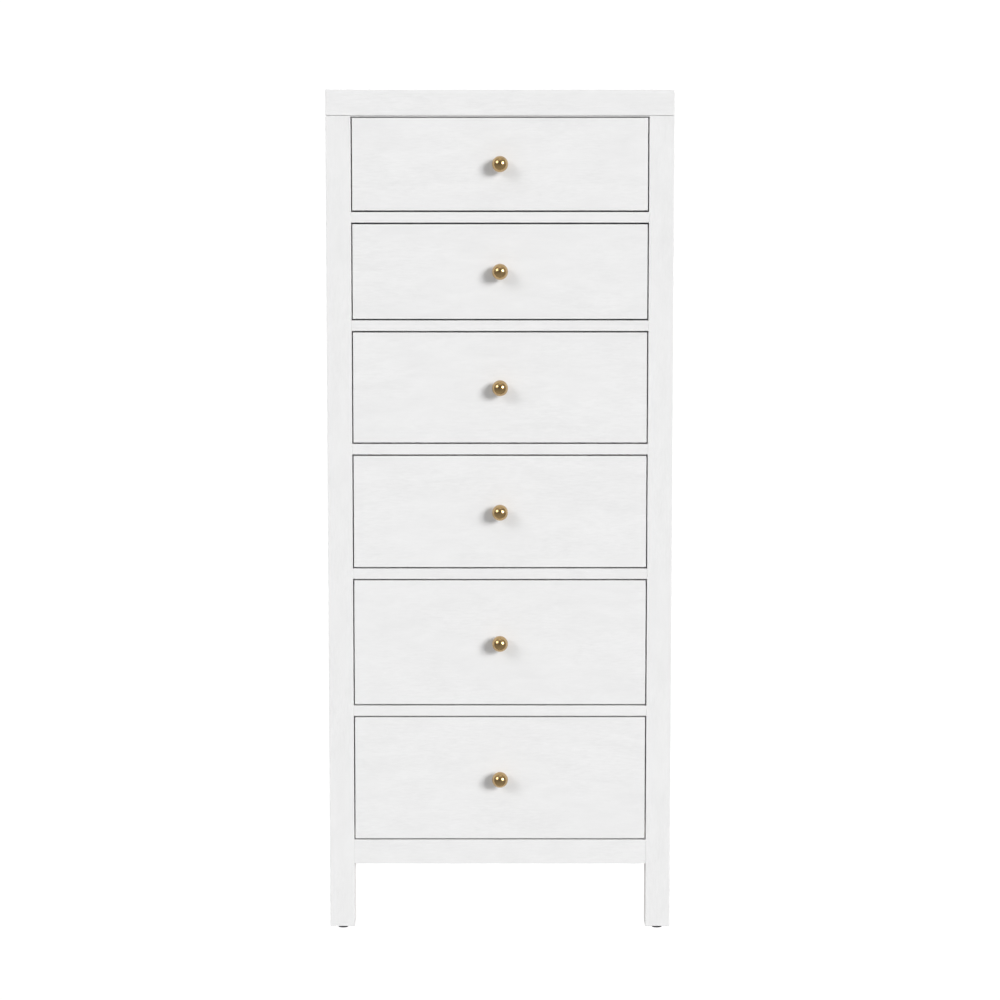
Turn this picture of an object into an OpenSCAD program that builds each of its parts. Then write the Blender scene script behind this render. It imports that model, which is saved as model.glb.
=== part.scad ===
// Tall chest of six drawers, in millimetres.
// +Z is up, the drawers face -Y, and the origin is under the middle of the chest, on the floor.
// Places along the depth are given from the front of the posts, which stands at y = front_y.

/* [Case] */
// Width across the posts
case_w = 559; // [480:1:700]
// Depth from the front of the posts to the back
case_d = 508; // [480:1:600]
// Side of the square section of each post
post_w = 40; // [38:1:50]
// Height of the legs below the bottom rail, above the glides
leg_h = 105.5; // [60:0.5:160]
// Thickness of the top
top_t = 40.5; // [25:0.5:50]
// How far the top stands out in front of the posts
top_overhang = 1.5; // [0:0.5:6]
// Height of the rail under the lowest drawer
bottom_rail_h = 39.5; // [30:0.5:60]
// Height of each rail between two drawers
rail_h = 17; // [16:1:25]
// Height of the strip of rail that shows above the top drawer
top_strip_h = 3.25; // [2:0.25:8]
// Thickness of the side panels
side_t = 16; // [12:1:18]
// How far the side panels lie in from the outside of the posts
side_inset = 4; // [2:0.5:8]
// Thickness of the back panel
back_t = 6; // [4:1:9]

/* [Drawers] */
// Height of the face of drawer 1, the top one
drawer_1_h = 147.5; // [130:0.5:200]
// Height of the face of drawer 2
drawer_2_h = 152; // [130:0.5:200]
// Height of the face of drawer 3
drawer_3_h = 178; // [130:0.5:220]
// Height of the face of drawer 4
drawer_4_h = 181.5; // [130:0.5:220]
// Height of the face of drawer 5
drawer_5_h = 204; // [130:0.5:240]
// Height of the face of drawer 6, the lowest
drawer_6_h = 201.5; // [130:0.5:240]
// Gap below each drawer face, and above all but the top one
face_gap = 2.5; // [1.5:0.5:3]
// Gap above the top drawer face
top_gap = 0.75; // [0.5:0.25:3]
// Gap on each side of each drawer face
side_gap = 2; // [1.5:0.5:3]
// Thickness of each drawer face
face_t = 21; // [18:1:22]
// Thickness of the sides and ends of each drawer box
box_t = 12; // [11:0.5:15]
// Thickness of each drawer bottom
bottom_t = 6; // [4:0.5:8]

/* [Knobs] */
// Diameter of the ball of each knob
ball_d = 26; // [22:0.5:28]
// How far each knob stands out from its drawer face
knob_reach = 28; // [28:0.5:36]

/* [Slides] */
// Height of each drawer slide
slide_h = 45; // [42:0.5:46]
// Width between a post and a drawer box, which the slide fills
slide_t = 12.7; // [12.7:0.1:13.5]

/* [Hidden] */
$fn = 64;

drawer_count = 6;
drawer_numbers = [1:drawer_count];
face_h = [drawer_1_h, drawer_2_h, drawer_3_h, drawer_4_h, drawer_5_h, drawer_6_h];

case_nodes = [
    "top_panel", "front_left_post", "front_right_post", "rear_left_post", "rear_right_post",
    "left_side_panel", "right_side_panel", "back_panel", "top_front_rail", "bottom_front_rail",
    "rear_rails", "slide_cabinet_members", "foot_glides"
];
rail_nodes = [for (n = [1:drawer_count - 1]) str("drawer_rail_", n)];
drawer_nodes = [
    for (n = drawer_numbers)
        for (piece = ["front", "sides", "ends", "bottom", "knob", "slide_members"])
            str("drawer_", n, "_", piece)
];
middle_nodes = [for (n = drawer_numbers) str("slide_", n, "_middle")];

// Depths, from the front of the posts.
front_y = (knob_reach - case_d) / 2;
rear_post_d = case_d - post_w;
back_panel_d = case_d - back_t;
rear_rail_t = 20;
rear_rail_d = back_panel_d - rear_rail_t;
bottom_rail_t = 22;
box_back_gap = 4;
box_front_d = face_t;
box_back_d = rear_rail_d - box_back_gap;
box_depth = box_back_d - box_front_d;

// Heights, from the floor.
glide_h = 5.5;
bottom_rail_z = glide_h + leg_h;
lowest_face_z = bottom_rail_z + bottom_rail_h + face_gap;
function face_z(n) =
    n == drawer_count ? lowest_face_z : face_z(n + 1) + face_h[n] + 2 * face_gap + rail_h;
function rail_z(n) = face_z(n) - face_gap - rail_h;
function knob_z(n) = face_z(n) + face_h[n - 1] / 2;
top_z = face_z(1) + face_h[0] + top_gap + top_strip_h;

// Widths.
open_w = case_w - 2 * post_w;
face_w = open_w - 2 * side_gap;
box_w = open_w - 2 * slide_t;

// The top front rail is rebated behind its narrow strip, so that the top drawer closes under it.
top_rail_h = 20;
top_rail_rebate_d = face_t + 3;
top_rear_rail_h = 60;

// Joints: stub tenons of the rails, and tongues of the side panels.
tenon_l = 10;
tenon_shoulder = 3;
tenon_cheek = 5;
top_rail_cheek = 2;
tongue_t = 8;
tongue_l = 8;
back_rebate = 10;

// Each drawer box stands up from the lower edge of its face, and is lower than the face.
box_rise = 10;
box_below_face = 20;
function box_z(n) = face_z(n) + box_rise;
function box_h(n) = face_h[n - 1] - box_rise - box_below_face;
groove_rise = 10;
groove_depth = 6;
tail_pitch = 38;
tail_w = 24;
tail_slope = 1 / 6;

// Slides: three nested channels on each side, and their screws.
slide_front_gap = 1;
slide_back_gap = 29;
slide_front_d = face_t + slide_front_gap;
slide_back_d = case_d - slide_back_gap;
slide_l = slide_back_d - slide_front_d;
slide_rise = 45;
function slide_z(n) = box_z(n) + slide_rise;
// How far in from the front end and from the rear end of a slide its screws lie.
cabinet_screw_in = [8, 5.5];
drawer_screw_in = [40, 57];
cabinet_screw_d = [slide_front_d + cabinet_screw_in[0], slide_back_d - cabinet_screw_in[1]];
drawer_screw_d = [slide_front_d + drawer_screw_in[0], slide_back_d - drawer_screw_in[1]];
screw_r = 1.9;
screw_play = 0.05;
screw_head_r = 3.5;
screw_head_h = 2;
cabinet_screw_l = 16;
drawer_screw_l = 9;

// Each channel of a slide is [where its web starts, where its web ends, where its flanges end, half its
// height, thickness of its flanges]. The first three are distances from the post towards the drawer.
cabinet_web_t = 1.2;
drawer_web_t = 1;
cabinet_channel = [0, cabinet_web_t, 9.2, slide_h / 2, cabinet_web_t];
middle_channel = [2.4, 3.4, 10.4, slide_h / 2 - 3.9, 1];
drawer_channel = [slide_t, slide_t - drawer_web_t, 5, slide_h / 2 - 7.5, drawer_web_t];

// Glides and knobs.
glide_r = 8.25;
glide_chamfer = 0.75;
nail_r = 1.25;
nail_l = 16;
bolt_r = 2;
bolt_hole_r = 2.5;
bolt_head_r = 4;
bolt_head_h = 2.5;
bolt_in_knob = 10;

// Pilot holes for a tip restraint, in the top rear rail.
restraint_hole_r = 1.5;
restraint_hole_l = 22;
restraint_spacing = 32;

module mirrored() {
    mirror([1, 0, 0]) children();
}

module both_sides() {
    children();
    mirrored() children();
}

// Places its children at a width from the middle, a depth behind the posts' front and a height.
module at(x, d, z) {
    translate([x, front_y + d, z]) children();
}

// A board that is centred on the width.
module centred_board(w, d, thickness, z, h) {
    at(-w / 2, d, z) cube([w, thickness, h]);
}

// Extrudes a flat shape, drawn across and up, along the depth.
module along_depth(l) {
    translate([0, l, 0]) rotate([90, 0, 0]) linear_extrude(l) children();
}

// Extrudes a flat shape, drawn in depth and up, across the width.
module along_width(l) {
    rotate([90, 0, 90]) linear_extrude(l) children();
}

// A round bar or hole that runs to the right from where it is placed.
module bar_right(r, l) {
    rotate([0, 90, 0]) cylinder(r = r, h = l);
}

// ---- Case ----

// Each tenon is [height of its rail's bottom, height of its rail, depth where it starts, where it ends].
function drawer_rail_tenon(n) = [rail_z(n), rail_h, tenon_cheek, post_w - tenon_cheek];
bottom_rail_tenon = [bottom_rail_z, bottom_rail_h, tenon_cheek, bottom_rail_t - tenon_cheek];
top_rail_tenon = [
    top_z - top_rail_h, top_rail_h, top_rail_rebate_d + top_rail_cheek, post_w - top_rail_cheek
];
rear_tenons = [
    for (rail = [[top_z - top_rear_rail_h, top_rear_rail_h], [bottom_rail_z, bottom_rail_h]])
        [rail[0], rail[1], rear_rail_d + tenon_cheek, back_panel_d - tenon_cheek]
];
front_tenons = concat(
    [for (n = [1:drawer_count - 1]) drawer_rail_tenon(n)],
    [bottom_rail_tenon, top_rail_tenon]
);

// The tenon on the right-hand end of a rail. It reaches back into the rail by its own length.
module right_tenon(t) {
    at(open_w / 2 - tenon_l, t[2], t[0] + tenon_shoulder)
        cube([2 * tenon_l, t[3] - t[2], t[1] - 2 * tenon_shoulder]);
}

// The part of the right-hand side panel that fills the grooves in the posts.
module right_tongues() {
    tongue_x = case_w / 2 - side_inset - (side_t + tongue_t) / 2;
    at(tongue_x, post_w - tongue_l, bottom_rail_z)
        cube([tongue_t, rear_post_d - post_w + 2 * tongue_l, top_z - bottom_rail_z]);
}

// A post on the right-hand side, with its front at depth d.
module right_post(d, tenons, screw_d) {
    difference() {
        at(open_w / 2, d, glide_h) cube([post_w, post_w, top_z - glide_h]);
        right_tongues();
        for (t = tenons)
            right_tenon(t);
        for (n = drawer_numbers)
            at(open_w / 2, screw_d, slide_z(n)) bar_right(screw_r + screw_play, cabinet_screw_l + 1);
        at(case_w / 2 - post_w / 2, d + post_w / 2, glide_h - 1)
            cylinder(r = nail_r + screw_play, h = nail_l + 2);
    }
}

module front_right_post() {
    color("white") right_post(0, front_tenons, cabinet_screw_d[0]);
}

module front_left_post() {
    color("white") mirrored() right_post(0, front_tenons, cabinet_screw_d[0]);
}

// The rear posts are rebated for the back panel.
module rebated_rear_post() {
    difference() {
        right_post(rear_post_d, rear_tenons, cabinet_screw_d[1]);
        back_board();
    }
}

module rear_right_post() {
    color("white") rebated_rear_post();
}

module rear_left_post() {
    color("white") mirrored() rebated_rear_post();
}

module top_panel() {
    color("white") centred_board(case_w, -top_overhang, case_d + top_overhang, top_z, top_t);
}

module side_panel() {
    at(case_w / 2 - side_inset - side_t, post_w, bottom_rail_z)
        cube([side_t, rear_post_d - post_w, top_z - bottom_rail_z]);
    right_tongues();
}

module right_side_panel() {
    color("white") side_panel();
}

module left_side_panel() {
    color("white") mirrored() side_panel();
}

// The back panel without its holes.
module back_board() {
    centred_board(open_w + 2 * back_rebate, back_panel_d, back_t, bottom_rail_z, top_z - bottom_rail_z);
}

// Pilot holes for a tip restraint. They open at the back.
module restraint_holes() {
    both_sides()
        at(restraint_spacing / 2, case_d - restraint_hole_l, top_z - top_rear_rail_h / 2)
            rotate([-90, 0, 0]) cylinder(r = restraint_hole_r, h = restraint_hole_l + 1);
}

module back_panel() {
    color("gainsboro") difference() {
        back_board();
        restraint_holes();
    }
}

// A rail between two posts, with a stub tenon on each end.
module rail(d, thickness, z, h, tenon) {
    centred_board(open_w, d, thickness, z, h);
    both_sides() right_tenon(tenon);
}

module drawer_rail(n) {
    color("white") rail(0, post_w, rail_z(n), rail_h, drawer_rail_tenon(n));
}

module bottom_front_rail() {
    color("white") rail(0, bottom_rail_t, bottom_rail_z, bottom_rail_h, bottom_rail_tenon);
}

module top_front_rail() {
    color("white") difference() {
        rail(0, post_w, top_z - top_rail_h, top_rail_h, top_rail_tenon);
        centred_board(
            open_w + 1, -1, top_rail_rebate_d + 1, top_z - top_rail_h - 1, top_rail_h - top_strip_h + 1
        );
    }
}

module rear_rails() {
    color("burlywood") difference() {
        for (t = rear_tenons)
            rail(rear_rail_d, rear_rail_t, t[0], t[1], t);
        restraint_holes();
    }
}

// A round glide with its nail, on the floor under a post.
module glide() {
    rotate_extrude() polygon([
        [0, 0],
        [glide_r - glide_chamfer, 0],
        [glide_r, glide_chamfer],
        [glide_r, glide_h],
        [nail_r, glide_h],
        [nail_r, glide_h + nail_l],
        [0, glide_h + nail_l]
    ]);
}

module foot_glides() {
    color("black")
        both_sides()
            for (d = [post_w / 2, case_d - post_w / 2])
                at(case_w / 2 - post_w / 2, d, 0) glide();
}

// ---- Slides ----
// A channel on the right-hand side: a web with two flanges, drawn towards the drawer.
module slide_channel(n, channel) {
    web = channel[0];
    web_end = channel[1];
    tip = channel[2];
    outer = channel[3];
    inner = channel[3] - channel[4];
    at(open_w / 2, slide_front_d, slide_z(n))
        along_depth(slide_l)
            polygon([
                [-web, -outer], [-tip, -outer], [-tip, -inner], [-web_end, -inner],
                [-web_end, inner], [-tip, inner], [-tip, outer], [-web, outer]
            ]);
}

// Countersunk head of a cabinet screw, or its seat, with its top flush with the web.
module countersink(play) {
    translate([-cabinet_web_t, 0, 0])
        rotate([0, 90, 0])
            cylinder(r1 = screw_head_r + play, r2 = screw_r + play, h = cabinet_web_t);
}

module slide_cabinet_members() {
    color("silver") both_sides() for (n = drawer_numbers) {
        difference() {
            slide_channel(n, cabinet_channel);
            for (d = cabinet_screw_d)
                at(open_w / 2, d, slide_z(n)) countersink(screw_play);
        }
        for (d = cabinet_screw_d)
            at(open_w / 2, d, slide_z(n)) {
                countersink(0);
                bar_right(screw_r, cabinet_screw_l);
            }
    }
}

module slide_middle(n) {
    color("silver") both_sides() slide_channel(n, middle_channel);
}

// Screw holes through the web of a drawer member and into the drawer side.
module drawer_screw_holes(n) {
    for (d = drawer_screw_d)
        at(box_w / 2 - drawer_screw_l - 1, d, slide_z(n))
            bar_right(screw_r + screw_play, drawer_screw_l + drawer_web_t + 2);
}

module drawer_slide_members(n) {
    color("silver") both_sides() {
        difference() {
            slide_channel(n, drawer_channel);
            drawer_screw_holes(n);
        }
        for (d = drawer_screw_d)
            at(box_w / 2, d, slide_z(n)) {
                translate([-drawer_screw_l, 0, 0]) bar_right(screw_r, drawer_screw_l + drawer_web_t + 1);
                translate([drawer_web_t + screw_play, 0, 0]) bar_right(screw_head_r, screw_head_h);
            }
    }
}

// ---- Drawers ----

module knob_bolt_hole(n) {
    at(0, -1, knob_z(n)) rotate([-90, 0, 0]) cylinder(r = bolt_hole_r, h = face_t + box_t + 2);
}

module drawer_front(n) {
    color("white") difference() {
        centred_board(face_w, 0, face_t, face_z(n), face_h[n - 1]);
        knob_bolt_hole(n);
    }
}

// Dovetails on both ends of the right-hand side of a box. They reach 1 mm into the side.
module right_tails(n) {
    tail_count = round(box_h(n) / tail_pitch);
    pitch = box_h(n) / tail_count;
    wide = tail_w / 2;
    narrow = wide - box_t * tail_slope;
    tail = [
        [0, -wide], [box_t, -narrow], [box_t + 1, -narrow],
        [box_t + 1, narrow], [box_t, narrow], [0, wide]
    ];
    for (i = [0:tail_count - 1])
        at(box_w / 2 - box_t, box_front_d, box_z(n) + (i + 0.5) * pitch)
            along_width(box_t) {
                polygon(tail);
                translate([box_depth, 0]) mirror([1, 0]) polygon(tail);
            }
}

// The bottom of a box, which lies in grooves in its sides and ends.
module bottom_board(n) {
    reach = box_t - groove_depth;
    w = box_w - 2 * reach;
    at(-w / 2, box_front_d + reach, box_z(n) + groove_rise)
        cube([w, box_depth - 2 * reach, bottom_t]);
}

module drawer_bottom(n) {
    color("wheat") bottom_board(n);
}

module drawer_sides(n) {
    color("burlywood") both_sides() difference() {
        union() {
            at(box_w / 2 - box_t, box_front_d + box_t, box_z(n))
                cube([box_t, box_depth - 2 * box_t, box_h(n)]);
            right_tails(n);
        }
        bottom_board(n);
        drawer_screw_holes(n);
    }
}

// The inner front and the back of a box, which the dovetails of the sides go through.
module drawer_ends(n) {
    color("burlywood") difference() {
        for (d = [box_front_d, box_back_d - box_t])
            centred_board(box_w, d, box_t, box_z(n), box_h(n));
        both_sides() right_tails(n);
        bottom_board(n);
        knob_bolt_hole(n);
    }
}

// A ball knob on a short neck and a small round foot, and the bolt that holds it from inside.
module drawer_knob(n) {
    foot_r = 6.5;
    foot_h = 1.5;
    neck_r = 4.75;
    ball_z = knob_reach - ball_d / 2;
    color("darkgoldenrod") at(0, 0, knob_z(n)) {
        rotate([90, 0, 0]) difference() {
            union() {
                cylinder(r = foot_r, h = foot_h);
                cylinder(r = neck_r, h = ball_z);
                translate([0, 0, ball_z]) sphere(d = ball_d);
            }
            translate([0, 0, -1]) cylinder(r = bolt_r + screw_play, h = bolt_in_knob + 2);
        }
        rotate([-90, 0, 0]) {
            translate([0, 0, -bolt_in_knob]) cylinder(r = bolt_r, h = bolt_in_knob + face_t + box_t);
            translate([0, 0, face_t + box_t]) cylinder(r = bolt_head_r, h = bolt_head_h);
        }
    }
}

top_panel();
front_left_post();
front_right_post();
rear_left_post();
rear_right_post();
left_side_panel();
right_side_panel();
back_panel();
top_front_rail();
bottom_front_rail();
rear_rails();
slide_cabinet_members();
foot_glides();
for (n = [1:drawer_count - 1]) {
    drawer_rail(n);
}
for (n = drawer_numbers) {
    drawer_front(n);
    drawer_sides(n);
    drawer_ends(n);
    drawer_bottom(n);
    drawer_knob(n);
    drawer_slide_members(n);
    slide_middle(n);
}
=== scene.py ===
"""Looks of the tall chest of drawers: eased boards, turned knobs, pressed slides, paint, wood and metal.

Everything is in metres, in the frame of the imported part: +Z up, and the drawers face -Y.
"""

import math

import bmesh
import bpy
from mathutils import Matrix, Vector


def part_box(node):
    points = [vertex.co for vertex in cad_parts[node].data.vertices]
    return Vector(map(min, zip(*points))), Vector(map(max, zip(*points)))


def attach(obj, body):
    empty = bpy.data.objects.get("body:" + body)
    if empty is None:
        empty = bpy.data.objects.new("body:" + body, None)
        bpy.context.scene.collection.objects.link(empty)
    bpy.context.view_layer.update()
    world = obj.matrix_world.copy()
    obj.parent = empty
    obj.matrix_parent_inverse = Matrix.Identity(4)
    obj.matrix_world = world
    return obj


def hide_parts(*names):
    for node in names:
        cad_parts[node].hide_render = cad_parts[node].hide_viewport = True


DRAWERS = range(1, 7)

# Camera: a long lens, a little above the middle of the chest and looking down at it.
LENS_MM = 99.5
CAMERA_DISTANCE = 4.465
CAMERA_HEIGHT = 1.173
CAMERA_PITCH_DOWN = 5.89

# Eased edges of the boards.
TOP_EASE = 0.0005
POST_EASE = 0.0006
RAIL_EASE = 0.0004
FACE_EASE = 0.0004
BOX_EASE = 0.0008
EASE_STEPS = 3
SHARP_ANGLE = math.radians(40)

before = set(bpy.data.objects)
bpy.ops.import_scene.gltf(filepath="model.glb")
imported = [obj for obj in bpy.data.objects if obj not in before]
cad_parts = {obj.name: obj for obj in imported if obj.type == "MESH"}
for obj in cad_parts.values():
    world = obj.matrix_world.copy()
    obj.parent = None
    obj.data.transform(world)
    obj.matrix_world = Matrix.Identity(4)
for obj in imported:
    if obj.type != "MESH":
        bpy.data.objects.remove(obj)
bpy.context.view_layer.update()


# ---- Materials ----


def add_node(tree, kind, inputs=None, **settings):
    """A new shader node, with its settings made and its inputs set or linked."""
    made = tree.nodes.new("ShaderNode" + kind)
    for key, value in settings.items():
        setattr(made, key, value)
    for key, value in (inputs or {}).items():
        if isinstance(value, bpy.types.NodeSocket):
            tree.links.new(value, made.inputs[key])
        else:
            made.inputs[key].default_value = value
    return made


def new_material(name, **shader_inputs):
    """A material with a Principled shader, and its node tree and shader."""
    material = bpy.data.materials.new(name)
    material.use_nodes = True
    tree = material.node_tree
    shader = tree.nodes["Principled BSDF"]
    for key, value in shader_inputs.items():
        shader.inputs[key.replace("_", " ")].default_value = value
    return material, tree, shader


def piece_place(tree):
    """Object coordinates, shifted on each piece by its own amount, so that no two boards look the same."""
    place = add_node(tree, "TexCoord")
    piece = add_node(tree, "ObjectInfo")
    amount = {0: piece.outputs["Random"], 1: (7.3, 5.1, 9.7)}
    shift = add_node(tree, "VectorMath", amount, operation="MULTIPLY")
    moved = add_node(tree, "VectorMath", {0: place.outputs["Object"], 1: shift.outputs[0]}, operation="ADD")
    return moved.outputs[0]


def stretched(tree, place, grain, along, across):
    """Coordinates for a pattern that is long in the direction of the grain."""
    scale = [along if axis == grain else across for axis in "XYZ"]
    return add_node(tree, "Mapping", {"Vector": place, "Scale": scale}).outputs[0]


def noise(tree, vector, scale=1.0, detail=3.0, roughness=0.5, distortion=0.0):
    inputs = {
        "Vector": vector,
        "Scale": scale,
        "Detail": detail,
        "Roughness": roughness,
        "Distortion": distortion,
    }
    return add_node(tree, "TexNoise", inputs).outputs["Fac"]


def ramp(tree, value, stops):
    """A colour ramp through (position, colour) stops."""
    made = add_node(tree, "ValToRGB", {"Fac": value})
    points = made.color_ramp.elements
    while len(points) < len(stops):
        points.new(0.5)
    for point, (position, colour) in zip(points, stops):
        point.position = position
        point.color = (*colour, 1.0)
    return made.outputs["Color"]


def span(tree, value, low, high, start=0.0, end=1.0):
    """The value, which goes from low where it was start to high where it was end, and no further."""
    inputs = {"Value": value, "From Min": start, "From Max": end, "To Min": low, "To Max": high}
    return add_node(tree, "MapRange", inputs).outputs["Result"]


def blend(tree, a, b, share):
    """Two numbers mixed: a where share is 0, and b where it is 1."""
    made = add_node(tree, "Mix", {0: share, 2: a, 3: b}, data_type="FLOAT")
    return made.outputs[0]


def bumped(tree, shader, layers):
    """Adds bump layers, each (height, depth in metres), to the shader's normal."""
    normal = None
    for height, depth in layers:
        inputs = {"Height": height, "Distance": depth, "Strength": 1.0}
        if normal is not None:
            inputs["Normal"] = normal
        normal = add_node(tree, "Bump", inputs).outputs["Normal"]
    tree.links.new(normal, shader.inputs["Normal"])


def link(tree, socket, shader, name):
    tree.links.new(socket, shader.inputs[name])


def painted_wood(name, grain, low=0.772, high=0.834, gloss=0.64):
    """Satin white paint over hardwood, whose grain shows in patches of short, fine, greyer streaks."""
    material, tree, shader = new_material(name, Specular_IOR_Level=0.15)
    place = piece_place(tree)
    fine = stretched(tree, place, grain, 60.0, 330.0)
    streaks = noise(tree, fine, detail=4.0, roughness=0.68, distortion=0.3)
    broad = stretched(tree, place, grain, 14.0, 42.0)
    figure = noise(tree, broad, detail=3.0, roughness=0.6, distortion=0.5)
    patches = noise(tree, stretched(tree, place, grain, 6.0, 11.0), detail=2.0)
    pores = noise(tree, stretched(tree, place, grain, 60.0, 1400.0), detail=2.0, roughness=0.6)
    spray = noise(tree, place, scale=500.0, detail=2.0)
    patchy = blend(tree, 0.5, streaks, span(tree, patches, 0.15, 1.0, 0.35, 0.60))
    tone = blend(tree, patchy, figure, 0.4)
    colour = ramp(tree, tone, [(0.34, (low, low, low)), (0.62, (high, high, high))])
    link(tree, colour, shader, "Base Color")
    link(tree, span(tree, streaks, gloss + 0.06, gloss - 0.06), shader, "Roughness")
    bumped(tree, shader, [(pores, 0.00004), (streaks, 0.00006), (spray, 0.000012)])
    return material


END_GRAIN_TONE = 0.72
# A wave texture makes this many waves in each unit of its coordinates.
WAVES_PER_UNIT = 20 / (2 * math.pi)


def bare_wood(name, grain, pale, deep, ring_share, rings_per_metre):
    """Clear-sealed wood: growth rings drawn out along the grain, fine fibre, and darker end grain."""
    material, tree, shader = new_material(name, Specular_IOR_Level=0.4)
    place = piece_place(tree)
    rings = add_node(
        tree,
        "TexWave",
        {
            "Vector": stretched(tree, place, grain, 0.03 * rings_per_metre, rings_per_metre / WAVES_PER_UNIT),
            "Scale": 1.0,
            "Distortion": 30.0,
            "Detail": 2.0,
            "Detail Scale": 0.35,
            "Detail Roughness": 0.5,
        },
        wave_type="RINGS",
        rings_direction=grain,
        wave_profile="SAW",
    ).outputs["Fac"]
    fibre = noise(tree, stretched(tree, place, grain, 30.0, 1500.0), detail=3.0, roughness=0.65)
    streak = noise(tree, stretched(tree, place, grain, 2.5, 110.0), detail=5.0, roughness=0.65)
    tone = blend(tree, blend(tree, streak, rings, ring_share), fibre, 0.25)
    middle = [(a + b) / 2 for a, b in zip(pale, deep)]
    long_grain = ramp(tree, tone, [(0.25, deep), (0.5, middle), (0.72, pale)])
    speckle = noise(tree, place, scale=900.0, detail=3.0, roughness=0.7)
    end_pale = [c * END_GRAIN_TONE for c in pale]
    end_deep = [c * END_GRAIN_TONE * 0.8 for c in deep]
    end_grain = ramp(tree, speckle, [(0.3, end_deep), (0.7, end_pale)])
    sides = add_node(tree, "TexCoord")
    facing = add_node(tree, "SeparateXYZ", {0: sides.outputs["Normal"]}).outputs[grain]
    size = add_node(tree, "Math", {0: facing}, operation="ABSOLUTE").outputs[0]
    is_end = add_node(tree, "Math", {0: size, 1: 0.6}, operation="GREATER_THAN").outputs[0]
    colour = add_node(tree, "Mix", {0: is_end, 6: long_grain, 7: end_grain}, data_type="RGBA").outputs[2]
    link(tree, colour, shader, "Base Color")
    link(tree, span(tree, fibre, 0.42, 0.58), shader, "Roughness")
    bumped(tree, shader, [(fibre, 0.00008), (streak, 0.00008)])
    return material


def antique_brass():
    """Satin antique brass: a warm metal with fine polishing marks and slightly darker patches of patina."""
    material, tree, shader = new_material("antique_brass", Metallic=1.0, Coat_Weight=0.35, Coat_Roughness=0.2)
    place = piece_place(tree)
    patina = noise(tree, place, scale=160.0, detail=4.0, roughness=0.6)
    marks = noise(tree, stretched(tree, place, "Z", 2500.0, 260.0), detail=2.0)
    colour = ramp(tree, patina, [(0.3, (0.50, 0.335, 0.150)), (0.7, (0.58, 0.389, 0.178))])
    link(tree, colour, shader, "Base Color")
    link(tree, span(tree, patina, 0.21, 0.28), shader, "Roughness")
    bumped(tree, shader, [(marks, 0.000003)])
    return material


def zinc_steel():
    """Pressed steel with bright zinc plate, lightly brushed along the slide."""
    material, tree, shader = new_material("zinc_steel", Metallic=1.0)
    place = piece_place(tree)
    brushed = noise(tree, stretched(tree, place, "Y", 8.0, 1500.0), detail=3.0)
    spangle = noise(tree, place, scale=70.0, detail=3.0, roughness=0.6)
    colour = ramp(tree, spangle, [(0.3, (0.52, 0.53, 0.55)), (0.7, (0.66, 0.67, 0.68))])
    link(tree, colour, shader, "Base Color")
    link(tree, span(tree, spangle, 0.26, 0.42), shader, "Roughness")
    bumped(tree, shader, [(brushed, 0.00001)])
    return material


def black_plastic():
    """Matt moulded plastic, with a fine texture and scuffs."""
    material, tree, shader = new_material("black_plastic", Specular_IOR_Level=0.3)
    place = piece_place(tree)
    scuffs = noise(tree, place, scale=220.0, detail=4.0, roughness=0.7)
    colour = ramp(tree, scuffs, [(0.35, (0.004, 0.004, 0.004)), (0.75, (0.009, 0.009, 0.009))])
    link(tree, colour, shader, "Base Color")
    link(tree, span(tree, scuffs, 0.45, 0.65), shader, "Roughness")
    bumped(tree, shader, [(noise(tree, place, scale=1800.0), 0.00002)])
    return material


PALE_WOOD = (0.70, 0.54, 0.36)
DEEP_WOOD = (0.52, 0.365, 0.215)
PALE_PLY = (0.74, 0.60, 0.42)
DEEP_PLY = (0.60, 0.455, 0.29)

paint = {grain: painted_wood(f"white_paint_{grain}", grain) for grain in "XYZ"}
back_paint = painted_wood("white_board_Z", "Z", low=0.75, high=0.78, gloss=0.62)
wood = {grain: bare_wood(f"bare_wood_{grain}", grain, PALE_WOOD, DEEP_WOOD, 0.28, 110.0) for grain in "XY"}
plywood = bare_wood("plywood_X", "X", PALE_PLY, DEEP_PLY, 0.3, 45.0)
brass = antique_brass()
zinc = zinc_steel()
plastic = black_plastic()


# ---- Mesh helpers ----


def new_piece(name, mesh, body, slot, replaced, *materials):
    """A new object that rides on a body and stands for CAD nodes."""
    piece = bpy.data.objects.new(name, mesh)
    bpy.context.scene.collection.objects.link(piece)
    for material in materials:
        mesh.materials.append(material)
    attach(piece, body)
    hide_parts(*replaced)
    return piece


def shade(piece):
    """Smooth shading that stays flat on flat faces and sharp at hard corners."""
    mesh = piece.data
    mesh.shade_smooth()
    mesh.set_sharp_from_angle(angle=SHARP_ANGLE)
    weighted = piece.modifiers.new("weighted_normals", "WEIGHTED_NORMAL")
    weighted.keep_sharp = True


def islands(shape):
    """The vertices of each separate solid of a bmesh."""
    unseen = set(shape.verts)
    found = []
    while unseen:
        front = [unseen.pop()]
        island = set(front)
        while front:
            vertex = front.pop()
            for edge in vertex.link_edges:
                other = edge.other_vert(vertex)
                if other in unseen:
                    unseen.remove(other)
                    island.add(other)
                    front.append(other)
        found.append(island)
    return found


def outer_edges(island):
    """The long edges of a board: those that lie on two sides of its box."""
    low = [min(v.co[i] for v in island) for i in range(3)]
    high = [max(v.co[i] for v in island) for i in range(3)]

    def planes(vertex):
        return {
            (i, end)
            for i in range(3)
            for end, limit in enumerate((low[i], high[i]))
            if abs(vertex.co[i] - limit) < 1e-5
        }

    edges = {edge for vertex in island for edge in vertex.link_edges}
    return [edge for edge in edges if len(planes(edge.verts[0]) & planes(edge.verts[1])) >= 2]


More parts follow.
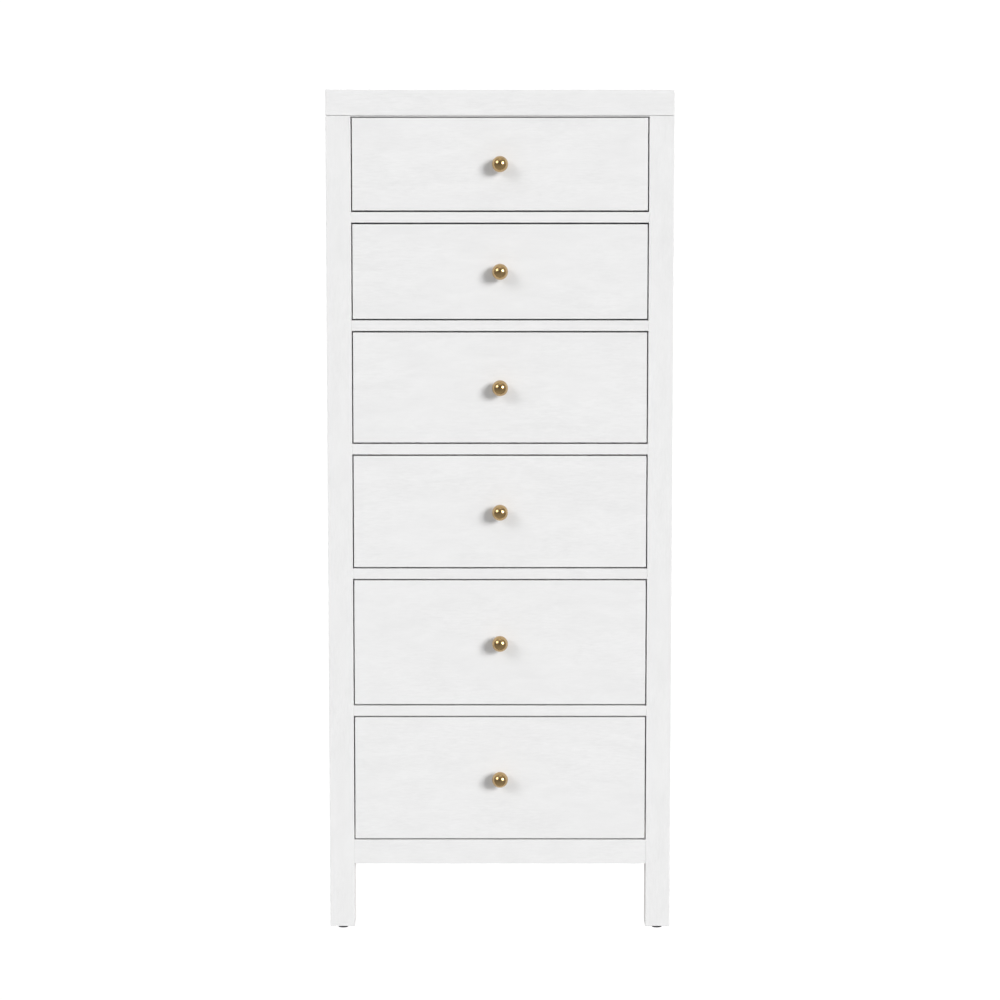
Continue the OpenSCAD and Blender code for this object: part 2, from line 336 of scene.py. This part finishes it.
def eased_board(node, body, slot, material, ease):
    """The CAD board with clean flat faces and rounded outer edges."""
    shape = bmesh.new()
    shape.from_mesh(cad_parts[node].data)
    bmesh.ops.remove_doubles(shape, verts=shape.verts, dist=1e-6)
    bmesh.ops.dissolve_limit(shape, angle_limit=math.radians(0.5), verts=shape.verts, edges=shape.edges)
    edges = [edge for island in islands(shape) for edge in outer_edges(island)]
    bmesh.ops.bevel(
        shape, geom=edges, offset=ease, segments=EASE_STEPS, profile=0.5, affect="EDGES", clamp_overlap=True
    )
    mesh = bpy.data.meshes.new(node + "_board")
    shape.to_mesh(mesh)
    shape.free()
    piece = new_piece(node + "_board", mesh, body, slot, [node], material)
    shade(piece)
    return piece


def lathe(shape, profile, place, steps=64, material_index=0):
    """Turns a profile of (radius, height) points about its axis into a closed solid, moved by place.

    A radius may also be a list, with one radius for each step of the turn.
    """
    angles = [2 * math.pi * i / steps for i in range(steps)]
    rings = []
    for radius, height in profile:
        if radius == 0.0:
            rings.append([shape.verts.new(place @ Vector((0, 0, height)))])
            continue
        radii = radius if isinstance(radius, list) else [radius] * steps
        points = [Vector((r * math.cos(a), r * math.sin(a), height)) for r, a in zip(radii, angles)]
        rings.append([shape.verts.new(place @ point) for point in points])
    for lower, upper in zip(rings, rings[1:]):
        for i in range(steps):
            j = (i + 1) % steps
            if len(lower) == 1:
                corners = (lower[0], upper[i], upper[j])
            elif len(upper) == 1:
                corners = (lower[i], lower[j], upper[0])
            else:
                corners = (lower[i], lower[j], upper[j], upper[i])
            shape.faces.new(corners).material_index = material_index


def arc(centre, radius, start, end, steps):
    """Points on an arc, as (radius, height) pairs, from one angle to the other in degrees."""
    angles = [math.radians(start + (end - start) * i / steps) for i in range(steps + 1)]
    return [(centre[0] + radius * math.cos(a), centre[1] + radius * math.sin(a)) for a in angles]


def finish_mesh(shape, name):
    bmesh.ops.recalc_face_normals(shape, faces=shape.faces)
    mesh = bpy.data.meshes.new(name)
    shape.to_mesh(mesh)
    shape.free()
    return mesh


# ---- Case ----

eased_board("top_panel", "case", "white_paint", paint["X"], TOP_EASE)
for post in ("front_left_post", "front_right_post", "rear_left_post", "rear_right_post"):
    eased_board(post, "case", "white_paint", paint["Z"], POST_EASE)
for panel in ("left_side_panel", "right_side_panel"):
    eased_board(panel, "case", "white_paint", paint["Z"], RAIL_EASE)
eased_board("back_panel", "case", "white_back_panel", back_paint, RAIL_EASE)
for rail in ("top_front_rail", "bottom_front_rail", *[f"drawer_rail_{n}" for n in range(1, 6)]):
    eased_board(rail, "case", "white_paint", paint["X"], RAIL_EASE)
eased_board("rear_rails", "case", "bare_wood", wood["X"], RAIL_EASE)

# ---- Drawers ----

for n in DRAWERS:
    body = f"drawer_{n}"
    eased_board(f"drawer_{n}_front", body, "white_paint", paint["X"], FACE_EASE)
    eased_board(f"drawer_{n}_sides", body, "bare_wood", wood["Y"], BOX_EASE)
    eased_board(f"drawer_{n}_ends", body, "bare_wood", wood["X"], BOX_EASE)
    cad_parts[f"drawer_{n}_bottom"].data.materials.clear()
    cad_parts[f"drawer_{n}_bottom"].data.materials.append(plywood)


def knob_profile(reach, ball_radius):
    """From the face outwards: a small round foot, a waisted neck and a ball."""
    foot_radius = 0.0065
    foot_height = 0.0015
    edge = 0.0005
    neck_radius = 0.0045
    ball_height = reach - ball_radius
    neck_angle = math.degrees(math.asin(-math.sqrt(1 - (neck_radius / ball_radius) ** 2)))
    return [
        (0.0, 0.0),
        (foot_radius, 0.0),
        *arc((foot_radius - edge, foot_height - edge), edge, 0, 90, 4),
        *arc((neck_radius + 0.001, foot_height + 0.001), 0.001, 270, 180, 5),
        *arc((0, ball_height), ball_radius, neck_angle, 90, 40)[:-1],
        (0.0, reach),
    ]


SCREW_STEPS = 32
# The cross recess in the head of a bolt or screw: one radius for each step round it.
CROSS = [0.0019 if i % 8 in (7, 0, 1) else 0.0006 for i in range(SCREW_STEPS)]
RECESS_DEPTH = 0.0009
BOLT_RADIUS = 0.002
BOLT_HEAD_RADIUS = 0.004
BOLT_HEAD_HEIGHT = 0.0025


def bolt_profile(radius, head_radius, head_height, length):
    """A bolt or screw, from the end of its shank to the cross recess in its domed head."""
    dome = head_height * 0.6
    shoulder = head_height - dome
    angles = [math.radians(15 * i) for i in range(1, 5)]
    return [
        (0.0, -length),
        (radius * 0.6, -length),
        (radius, -length + radius),
        (radius, 0.0),
        (head_radius, 0.0),
        (head_radius, shoulder),
        *[(head_radius * math.cos(a), shoulder + dome * math.sin(a)) for a in angles if math.cos(a) > 0.58],
        (CROSS, shoulder + dome * 0.86),
        ([0.8 * r for r in CROSS], head_height - RECESS_DEPTH),
        (0.0, head_height - RECESS_DEPTH),
    ]


for n in DRAWERS:
    low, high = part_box(f"drawer_{n}_knob")
    face_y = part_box(f"drawer_{n}_front")[0].y
    centre_z = (low.z + high.z) / 2
    reach = face_y - low.y
    ball_radius = (high.z - low.z) / 2
    knob = bmesh.new()
    outwards = Matrix.Translation((0, face_y, centre_z)) @ Matrix.Rotation(math.radians(90), 4, "X")
    lathe(knob, knob_profile(reach, ball_radius), outwards, steps=96)
    under_head = high.y - BOLT_HEAD_HEIGHT
    inwards = Matrix.Translation((0, under_head, centre_z)) @ Matrix.Rotation(math.radians(-90), 4, "X")
    bolt = bolt_profile(BOLT_RADIUS, BOLT_HEAD_RADIUS, BOLT_HEAD_HEIGHT, under_head - face_y)
    lathe(knob, bolt, inwards, SCREW_STEPS, material_index=1)
    name = f"drawer_{n}_knob"
    mesh = finish_mesh(knob, name + "_turned")
    new_piece(name + "_turned", mesh, f"drawer_{n}", "brass", [name], brass, zinc)
    mesh.shade_smooth()
    mesh.set_sharp_from_angle(angle=SHARP_ANGLE)

# ---- Slides ----
# Each channel is drawn at the origin: X from the post towards the drawer, Y back from the front of the slide.
# Its values are where the back of its web is, where its flanges end, half its height, and its thickness.

CABINET_CHANNEL = (0.0, 0.0092, 0.0225, 0.0012)
MIDDLE_CHANNEL = (0.0024, 0.0104, 0.0186, 0.0010)
DRAWER_CHANNEL = (0.0127, 0.0050, 0.0150, 0.0010)
BEND_RADIUS = 0.0022
LIP_LENGTH = 0.0018
LIP_CURL = 0.0007
# Slots in the webs, each (its middle, its length), and the places of the screws.
CABINET_SLOTS = [(0.055, 0.012), (0.130, 0.012), (0.215, 0.030), (0.300, 0.012), (0.375, 0.012)]
MIDDLE_SLOTS = [(0.045, 0.020), (0.150, 0.034), (0.230, 0.034), (0.310, 0.034), (0.412, 0.020)]
DRAWER_SLOTS = [(0.018, 0.010), (0.110, 0.012), (0.205, 0.026), (0.300, 0.012), (0.438, 0.010)]
SLOT_HEIGHT = 0.0055
CABINET_SCREWS = [0.008, 0.4515]
DRAWER_SCREWS = [0.040, 0.400]
SCREW_RADIUS = 0.0019
SCREW_HEAD_RADIUS = 0.0035


def channel_outline(channel):
    """The section of a channel: a web with round bends, and flanges whose lips curl inwards."""
    back, tip, half, thickness = channel
    way = 1 if tip > back else -1
    web = back + way * thickness / 2
    flange = half - thickness / 2
    bend = arc((0.0, BEND_RADIUS - flange), BEND_RADIUS, 270, 180, 6)
    lower = [(tip, LIP_CURL - flange), (tip - way * LIP_LENGTH, -flange)]
    lower += [(web + way * (BEND_RADIUS + x), z) for x, z in bend]
    line = [Vector(point) for point in lower + [(x, -z) for x, z in reversed(lower)]]
    one_face, other_face = [], []
    for i, point in enumerate(line):
        along = line[min(i + 1, len(line) - 1)] - line[max(i - 1, 0)]
        across = along.normalized().orthogonal() * thickness / 2
        one_face.append(point + across)
        other_face.append(point - across)
    return one_face + other_face[::-1]


def prism(shape, outline, to_space, ends):
    """A closed prism on an outline of (u, v) points, between two ends along w."""
    rings = [[shape.verts.new(to_space(u, v, w)) for u, v in outline] for w in ends]
    for i in range(len(outline)):
        j = (i + 1) % len(outline)
        shape.faces.new((rings[0][i], rings[0][j], rings[1][j], rings[1][i]))
    for ring in rings:
        shape.faces.new(ring)


def scratch_object(shape, name):
    made = bpy.data.objects.new(name, finish_mesh(shape, name))
    bpy.context.scene.collection.objects.link(made)
    return made


def slotted_channel(name, channel, slots, length):
    """The mesh of one channel, with the slots cut through its web."""
    sheet = bmesh.new()
    prism(sheet, channel_outline(channel), lambda u, v, w: Vector((u, w, v)), (0.0, length))
    cutters = bmesh.new()
    radius = SLOT_HEIGHT / 2
    for middle, slot_length in slots:
        half = slot_length / 2 - radius
        outline = [(middle + half + u, v) for u, v in arc((0, 0), radius, -90, 90, 10)]
        outline += [(middle - half + u, v) for u, v in arc((0, 0), radius, 90, 270, 10)]
        reach = 2 * channel[3]
        prism(cutters, outline, lambda u, v, w: Vector((w, u, v)), (channel[0] - reach, channel[0] + reach))
    solid = scratch_object(sheet, name)
    cutter = scratch_object(cutters, name + "_slots")
    cut = solid.modifiers.new("slots", "BOOLEAN")
    cut.object = cutter
    cut.solver = "EXACT"
    mesh = bpy.data.meshes.new_from_object(solid.evaluated_get(bpy.context.evaluated_depsgraph_get()))
    for scratch in (solid, cutter):
        bpy.data.objects.remove(scratch)
    return mesh


def slide_piece(name, body, node, channel_mesh, heights, screws, screw_x, screw_length, head_height):
    """The channels of one CAD node, each with its screws. A negative screw length points to the drawer."""
    shape = bmesh.new()
    for height in heights:
        for side in (1, -1):
            start = Matrix.Translation((side * post_x, slide_front, height))
            place = start @ Matrix.Scale(-side, 4, (1, 0, 0))
            before = len(shape.verts)
            shape.from_mesh(channel_mesh)
            shape.verts.ensure_lookup_table()
            bmesh.ops.transform(shape, matrix=place, verts=shape.verts[before:])
            turn = Matrix.Rotation(math.copysign(math.radians(90), screw_length), 4, "Y")
            for y in screws:
                stand = place @ Matrix.Translation((screw_x, y, 0.0)) @ turn
                profile = bolt_profile(SCREW_RADIUS, SCREW_HEAD_RADIUS, head_height, abs(screw_length))
                lathe(shape, profile, stand, SCREW_STEPS)
    piece = new_piece(name, finish_mesh(shape, name), body, "zinc_steel", [node], zinc)
    shade(piece)


middle_boxes = {n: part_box(f"slide_{n}_middle") for n in DRAWERS}
slide_heights = {n: (low.z + high.z) / 2 for n, (low, high) in middle_boxes.items()}
slide_front = middle_boxes[1][0].y
slide_length = middle_boxes[1][1].y - slide_front
post_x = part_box("front_right_post")[0].x
cabinet_mesh = slotted_channel("cabinet_channel", CABINET_CHANNEL, CABINET_SLOTS, slide_length)
middle_mesh = slotted_channel("middle_channel", MIDDLE_CHANNEL, MIDDLE_SLOTS, slide_length)
drawer_mesh = slotted_channel("drawer_channel", DRAWER_CHANNEL, DRAWER_SLOTS, slide_length)
slide_piece(
    "slide_cabinet_members_pressed", "case", "slide_cabinet_members",
    cabinet_mesh, slide_heights.values(), CABINET_SCREWS, CABINET_CHANNEL[3], 0.016, 0.0007,
)
for n, height in slide_heights.items():
    slide_piece(
        f"slide_{n}_middle_pressed", f"slide_middle_{n}", f"slide_{n}_middle",
        middle_mesh, [height], [], 0, 1, 0,
    )
    slide_piece(
        f"drawer_{n}_slide_members_pressed", f"drawer_{n}", f"drawer_{n}_slide_members",
        drawer_mesh, [height], DRAWER_SCREWS, DRAWER_CHANNEL[0] - DRAWER_CHANNEL[3], -0.009, 0.0018,
    )

# ---- Foot glides ----


def glide_profile(radius, height):
    """A disc with rounded rims, from its flat underside up to the post."""
    edge = 0.0003
    return [
        (0.0, 0.0),
        *arc((radius - edge, edge), edge, -90, 0, 6),
        *arc((radius - edge, height - edge), edge, 0, 90, 4),
        (0.0, height),
    ]


GLIDE_RADIUS = 0.00825
glides = bmesh.new()
glide_low, glide_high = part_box("foot_glides")
glide_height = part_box("front_left_post")[0].z
for x in (glide_low.x + GLIDE_RADIUS, glide_high.x - GLIDE_RADIUS):
    for y in (glide_low.y + GLIDE_RADIUS, glide_high.y - GLIDE_RADIUS):
        lathe(glides, glide_profile(GLIDE_RADIUS, glide_height), Matrix.Translation((x, y, 0)), steps=48)
glide_mesh = finish_mesh(glides, "foot_glides_turned")
new_piece("foot_glides_turned", glide_mesh, "case", "black_plastic", ["foot_glides"], plastic)
glide_mesh.shade_smooth()
glide_mesh.set_sharp_from_angle(angle=SHARP_ANGLE)


# ---- Stage ----
# The camera sees a plain backdrop. The light comes from three round soft lamps and from the world: dark in
# front of the chest, pale at its sides and above it, brightest behind it, and paler towards the ground.

STAGE_RADIUS = 45.0
WHITE_GLOW = 1.05
GREY_GLOW = 0.86
# Each lamp: name, degrees to the right of the front, degrees up, degrees wide, strength.
LAMPS = [
    ("key", 42.0, 17.5, 23.0, 2.64),
    ("fill", -48.0, 27.5, 29.0, 1.03),
    ("overhead", 0.0, 78.0, 26.0, 0.06),
]


def make_stage():
    """A backdrop that only the camera sees: white, but light grey on the side of the lamps."""
    dome = bmesh.new()
    bmesh.ops.create_uvsphere(dome, u_segments=48, v_segments=24, radius=STAGE_RADIUS)
    mesh = finish_mesh(dome, "backdrop")
    material, tree, shader = new_material("backdrop", Roughness=1.0, Specular_IOR_Level=0.0)
    shader.inputs["Base Color"].default_value = (0.0, 0.0, 0.0, 1.0)
    shader.inputs["Emission Color"].default_value = (1.0, 1.0, 1.0, 1.0)
    part = add_node(tree, "SeparateXYZ", {0: add_node(tree, "TexCoord").outputs["Object"]})
    glow = span(tree, part.outputs["Y"], WHITE_GLOW, GREY_GLOW, -0.25 * STAGE_RADIUS, -0.55 * STAGE_RADIUS)
    link(tree, glow, shader, "Emission Strength")
    mesh.materials.append(material)
    backdrop = bpy.data.objects.new("backdrop", mesh)
    bpy.context.scene.collection.objects.link(backdrop)
    backdrop.visible_diffuse = False
    backdrop.visible_glossy = False
    backdrop.visible_transmission = False
    backdrop.visible_shadow = False


def make_world():
    """Light from all around. Each part goes from its first strength to its second, over a range of Y or Z."""
    world = bpy.data.worlds.new("studio")
    bpy.context.scene.world = world
    world.use_nodes = True
    tree = world.node_tree
    direction = add_node(tree, "TexCoord").outputs["Generated"]
    part = add_node(tree, "SeparateXYZ", {0: direction})
    around = span(tree, part.outputs["Y"], 0.125, 0.57, -0.34, 0.20)
    behind = span(tree, part.outputs["Y"], 0.0, 0.4, 0.25, 0.75)
    above = span(tree, part.outputs["Z"], 0.0, 0.64, 0.60, 0.90)
    below = span(tree, part.outputs["Z"], 0.22, 0.48, 0.0, -1.0)
    level = add_node(tree, "Math", {0: around, 1: behind}, operation="ADD").outputs[0]
    sides = add_node(tree, "Math", {0: level, 1: above}, operation="MAXIMUM").outputs[0]
    under = add_node(tree, "Math", {0: part.outputs["Z"], 1: 0.0}, operation="LESS_THAN").outputs[0]
    ground = add_node(tree, "Math", {0: below, 1: under}, operation="MULTIPLY").outputs[0]
    glow = add_node(tree, "Math", {0: sides, 1: ground}, operation="MAXIMUM").outputs[0]
    background = tree.nodes["Background"]
    background.inputs["Color"].default_value = (1.0, 1.0, 1.0, 1.0)
    tree.links.new(glow, background.inputs["Strength"])


def make_lamp(name, right, up, width, strength):
    """A far round lamp, to the right of the front and up by so many degrees."""
    a, e = math.radians(right), math.radians(up)
    direction = Vector((math.sin(a) * math.cos(e), -math.cos(a) * math.cos(e), math.sin(e)))
    data = bpy.data.lights.new(name, "SUN")
    data.angle = math.radians(width)
    data.energy = strength
    lamp = bpy.data.objects.new(name, data)
    lamp.location = direction * STAGE_RADIUS / 2
    lamp.rotation_euler = direction.to_track_quat("Z", "Y").to_euler()
    bpy.context.scene.collection.objects.link(lamp)


def make_camera():
    """The camera looks straight at the front, from a distance that is measured to the front of the posts."""
    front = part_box("front_left_post")[0].y
    data = bpy.data.cameras.new("camera")
    data.lens = LENS_MM
    data.clip_end = 200.0
    camera = bpy.data.objects.new("camera", data)
    camera.location = (0.0, front - CAMERA_DISTANCE, CAMERA_HEIGHT)
    camera.rotation_euler = (math.radians(90 - CAMERA_PITCH_DOWN), 0.0, 0.0)
    bpy.context.scene.collection.objects.link(camera)
    bpy.context.scene.camera = camera


make_stage()
make_world()
for lamp in LAMPS:
    make_lamp(*lamp)
make_camera()
bpy.context.scene.view_settings.view_transform = "Standard"
